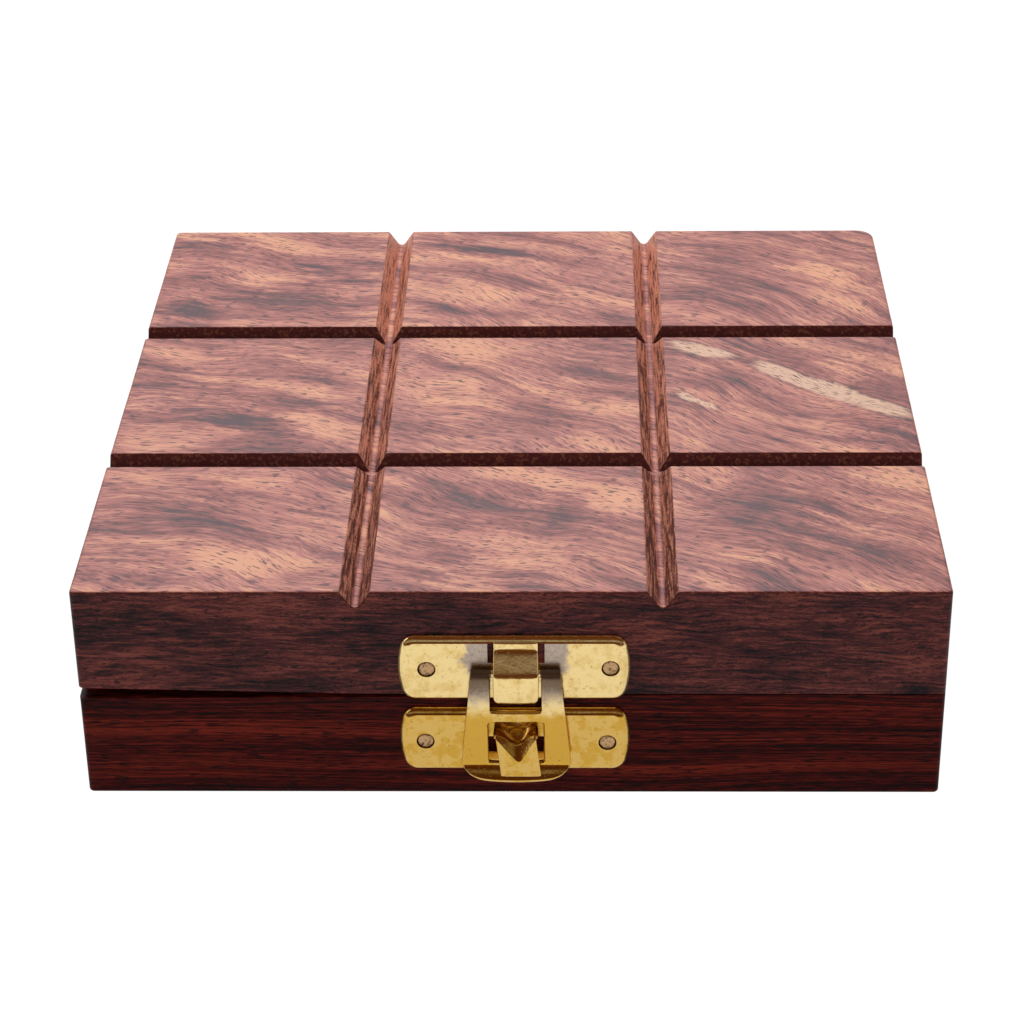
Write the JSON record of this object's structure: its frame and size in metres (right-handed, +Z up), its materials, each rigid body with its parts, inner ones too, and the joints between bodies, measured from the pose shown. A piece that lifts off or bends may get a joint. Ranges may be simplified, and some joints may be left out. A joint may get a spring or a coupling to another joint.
{
  "type": "tic-tac-toe and solitaire box",
  "caption": "Square hinged wooden box with a grooved three-by-three grid on its lid, a brass hasp clasp, and a peg solitaire board, pegs, crosses and noughts inside.",
  "frame": {"origin": "middle of the underside of the base", "axes": "+Z up, -Y the front with the clasp, +X to the right seen from the front"},
  "size_m": [0.127, 0.1358, 0.0351],
  "materials": {
    "rosewood_lid": "satin oiled rosewood, swirling figure",
    "rosewood_base": "satin oiled rosewood, straight dark grain",
    "rosewood_board": "satin oiled rosewood",
    "peg_wood": "turned pale hardwood, waxed",
    "dark_counter_wood": "sanded dark rosewood",
    "pale_counter_wood": "sanded pale hardwood",
    "clasp_brass": "polished brass, lightly aged",
    "hinge_brass": "brushed brass",
    "nail_steel": "dull aged brass nail heads"
  },
  "bodies": {
    "base": {"base_tray": "rosewood_base", "solitaire_board": "rosewood_board", "hinge_left_base_leaf": "hinge_brass", "hinge_left_pin": "hinge_brass", "hinge_right_base_leaf": "hinge_brass", "hinge_right_pin": "hinge_brass", "hinge_nails_base": "hinge_brass", "clasp_lower_plate": "clasp_brass", "clasp_nails_lower": "nail_steel"},
    "lid": {"lid": "rosewood_lid", "hinge_left_lid_leaf": "hinge_brass", "hinge_right_lid_leaf": "hinge_brass", "hinge_nails_lid": "hinge_brass", "clasp_upper_plate": "clasp_brass", "clasp_nails_upper": "nail_steel"},
    "hasp": {"clasp_hasp": "clasp_brass"},
    "peg_01": {"peg_01": "peg_wood"},
    "peg_02": {"peg_02": "peg_wood"},
    "peg_03": {"peg_03": "peg_wood"},
    "peg_04": {"peg_04": "peg_wood"},
    "peg_05": {"peg_05": "peg_wood"},
    "peg_06": {"peg_06": "peg_wood"},
    "peg_07": {"peg_07": "peg_wood"},
    "peg_08": {"peg_08": "peg_wood"},
    "peg_09": {"peg_09": "peg_wood"},
    "peg_10": {"peg_10": "peg_wood"},
    "peg_11": {"peg_11": "peg_wood"},
    "peg_12": {"peg_12": "peg_wood"},
    "peg_13": {"peg_13": "peg_wood"},
    "peg_14": {"peg_14": "peg_wood"},
    "peg_15": {"peg_15": "peg_wood"},
    "peg_16": {"peg_16": "peg_wood"},
    "peg_17": {"peg_17": "peg_wood"},
    "peg_18": {"peg_18": "peg_wood"},
    "peg_19": {"peg_19": "peg_wood"},
    "peg_20": {"peg_20": "peg_wood"},
    "peg_21": {"peg_21": "peg_wood"},
    "peg_22": {"peg_22": "peg_wood"},
    "peg_23": {"peg_23": "peg_wood"},
    "peg_24": {"peg_24": "peg_wood"},
    "peg_25": {"peg_25": "peg_wood"},
    "peg_26": {"peg_26": "peg_wood"},
    "peg_27": {"peg_27": "peg_wood"},
    "peg_28": {"peg_28": "peg_wood"},
    "peg_29": {"peg_29": "peg_wood"},
    "peg_30": {"peg_30": "peg_wood"},
    "peg_31": {"peg_31": "peg_wood"},
    "peg_32": {"peg_32": "peg_wood"},
    "cross_1": {"cross_1": "dark_counter_wood"},
    "cross_2": {"cross_2": "dark_counter_wood"},
    "cross_3": {"cross_3": "dark_counter_wood"},
    "cross_4": {"cross_4": "dark_counter_wood"},
    "cross_5": {"cross_5": "dark_counter_wood"},
    "nought_1": {"nought_1": "pale_counter_wood"},
    "nought_2": {"nought_2": "pale_counter_wood"},
    "nought_3": {"nought_3": "pale_counter_wood"},
    "nought_4": {"nought_4": "pale_counter_wood"},
    "nought_5": {"nought_5": "pale_counter_wood"}
  },
  "joints": [
    {"name": "box_lid_hinge", "type": "hinge", "parent": "base", "child": "lid", "pos_m": [0, 0.0654, 0.0176], "axis": [-1, 0, 0], "range_deg": [0, 180]},
    {"name": "clasp_hasp_swing", "type": "hinge", "parent": "lid", "child": "hasp", "pos_m": [0.00075, -0.06552, 0.0226], "axis": [-1, 0, 0], "range_deg": [0, 135]},
    {"name": "counter_cross_1_lift", "type": "slide", "parent": "base", "child": "cross_1", "axis": [0, 0, 1], "range_m": [0, 0.0115]},
    {"name": "counter_cross_2_lift", "type": "slide", "parent": "base", "child": "cross_2", "axis": [0, 0, 1], "range_m": [0, 0.0115]},
    {"name": "counter_cross_3_lift", "type": "slide", "parent": "base", "child": "cross_3", "axis": [0, 0, 1], "range_m": [0, 0.0115]},
    {"name": "counter_cross_4_lift", "type": "slide", "parent": "base", "child": "cross_4", "axis": [0, 0, 1], "range_m": [0, 0.0115]},
    {"name": "counter_cross_5_lift", "type": "slide", "parent": "base", "child": "cross_5", "axis": [0, 0, 1], "range_m": [0, 0.0115]},
    {"name": "counter_nought_1_lift", "type": "slide", "parent": "base", "child": "nought_1", "axis": [0, 0, 1], "range_m": [0, 0.0115]},
    {"name": "counter_nought_2_lift", "type": "slide", "parent": "base", "child": "nought_2", "axis": [0, 0, 1], "range_m": [0, 0.0115]},
    {"name": "counter_nought_3_lift", "type": "slide", "parent": "base", "child": "nought_3", "axis": [0, 0, 1], "range_m": [0, 0.0115]},
    {"name": "counter_nought_4_lift", "type": "slide", "parent": "base", "child": "nought_4", "axis": [0, 0, 1], "range_m": [0, 0.0115]},
    {"name": "counter_nought_5_lift", "type": "slide", "parent": "base", "child": "nought_5", "axis": [0, 0, 1], "range_m": [0, 0.0115]},
    {"name": "peg_01_lift", "type": "slide", "parent": "base", "child": "peg_01", "axis": [0, 0, 1], "range_m": [0, 0.0053]},
    {"name": "peg_02_lift", "type": "slide", "parent": "base", "child": "peg_02", "axis": [0, 0, 1], "range_m": [0, 0.0053]},
    {"name": "peg_03_lift", "type": "slide", "parent": "base", "child": "peg_03", "axis": [0, 0, 1], "range_m": [0, 0.0053]},
    {"name": "peg_04_lift", "type": "slide", "parent": "base", "child": "peg_04", "axis": [0, 0, 1], "range_m": [0, 0.0053]},
    {"name": "peg_05_lift", "type": "slide", "parent": "base", "child": "peg_05", "axis": [0, 0, 1], "range_m": [0, 0.0053]},
    {"name": "peg_06_lift", "type": "slide", "parent": "base", "child": "peg_06", "axis": [0, 0, 1], "range_m": [0, 0.0053]},
    {"name": "peg_07_lift", "type": "slide", "parent": "base", "child": "peg_07", "axis": [0, 0, 1], "range_m": [0, 0.0053]},
    {"name": "peg_08_lift", "type": "slide", "parent": "base", "child": "peg_08", "axis": [0, 0, 1], "range_m": [0, 0.0053]},
    {"name": "peg_09_lift", "type": "slide", "parent": "base", "child": "peg_09", "axis": [0, 0, 1], "range_m": [0, 0.0053]},
    {"name": "peg_10_lift", "type": "slide", "parent": "base", "child": "peg_10", "axis": [0, 0, 1], "range_m": [0, 0.0053]},
    {"name": "peg_11_lift", "type": "slide", "parent": "base", "child": "peg_11", "axis": [0, 0, 1], "range_m": [0, 0.0053]},
    {"name": "peg_12_lift", "type": "slide", "parent": "base", "child": "peg_12", "axis": [0, 0, 1], "range_m": [0, 0.0053]},
    {"name": "peg_13_lift", "type": "slide", "parent": "base", "child": "peg_13", "axis": [0, 0, 1], "range_m": [0, 0.0053]},
    {"name": "peg_14_lift", "type": "slide", "parent": "base", "child": "peg_14", "axis": [0, 0, 1], "range_m": [0, 0.0053]},
    {"name": "peg_15_lift", "type": "slide", "parent": "base", "child": "peg_15", "axis": [0, 0, 1], "range_m": [0, 0.0053]},
    {"name": "peg_16_lift", "type": "slide", "parent": "base", "child": "peg_16", "axis": [0, 0, 1], "range_m": [0, 0.0053]},
    {"name": "peg_17_lift", "type": "slide", "parent": "base", "child": "peg_17", "axis": [0, 0, 1], "range_m": [0, 0.0053]},
    {"name": "peg_18_lift", "type": "slide", "parent": "base", "child": "peg_18", "axis": [0, 0, 1], "range_m": [0, 0.0053]},
    {"name": "peg_19_lift", "type": "slide", "parent": "base", "child": "peg_19", "axis": [0, 0, 1], "range_m": [0, 0.0053]},
    {"name": "peg_20_lift", "type": "slide", "parent": "base", "child": "peg_20", "axis": [0, 0, 1], "range_m": [0, 0.0053]},
    {"name": "peg_21_lift", "type": "slide", "parent": "base", "child": "peg_21", "axis": [0, 0, 1], "range_m": [0, 0.0053]},
    {"name": "peg_22_lift", "type": "slide", "parent": "base", "child": "peg_22", "axis": [0, 0, 1], "range_m": [0, 0.0053]},
    {"name": "peg_23_lift", "type": "slide", "parent": "base", "child": "peg_23", "axis": [0, 0, 1], "range_m": [0, 0.0053]},
    {"name": "peg_24_lift", "type": "slide", "parent": "base", "child": "peg_24", "axis": [0, 0, 1], "range_m": [0, 0.0053]},
    {"name": "peg_25_lift", "type": "slide", "parent": "base", "child": "peg_25", "axis": [0, 0, 1], "range_m": [0, 0.0053]},
    {"name": "peg_26_lift", "type": "slide", "parent": "base", "child": "peg_26", "axis": [0, 0, 1], "range_m": [0, 0.0053]},
    {"name": "peg_27_lift", "type": "slide", "parent": "base", "child": "peg_27", "axis": [0, 0, 1], "range_m": [0, 0.0053]},
    {"name": "peg_28_lift", "type": "slide", "parent": "base", "child": "peg_28", "axis": [0, 0, 1], "range_m": [0, 0.0053]},
    {"name": "peg_29_lift", "type": "slide", "parent": "base", "child": "peg_29", "axis": [0, 0, 1], "range_m": [0, 0.0053]},
    {"name": "peg_30_lift", "type": "slide", "parent": "base", "child": "peg_30", "axis": [0, 0, 1], "range_m": [0, 0.0053]},
    {"name": "peg_31_lift", "type": "slide", "parent": "base", "child": "peg_31", "axis": [0, 0, 1], "range_m": [0, 0.0053]},
    {"name": "peg_32_lift", "type": "slide", "parent": "base", "child": "peg_32", "axis": [0, 0, 1], "range_m": [0, 0.0053]}
  ]
}
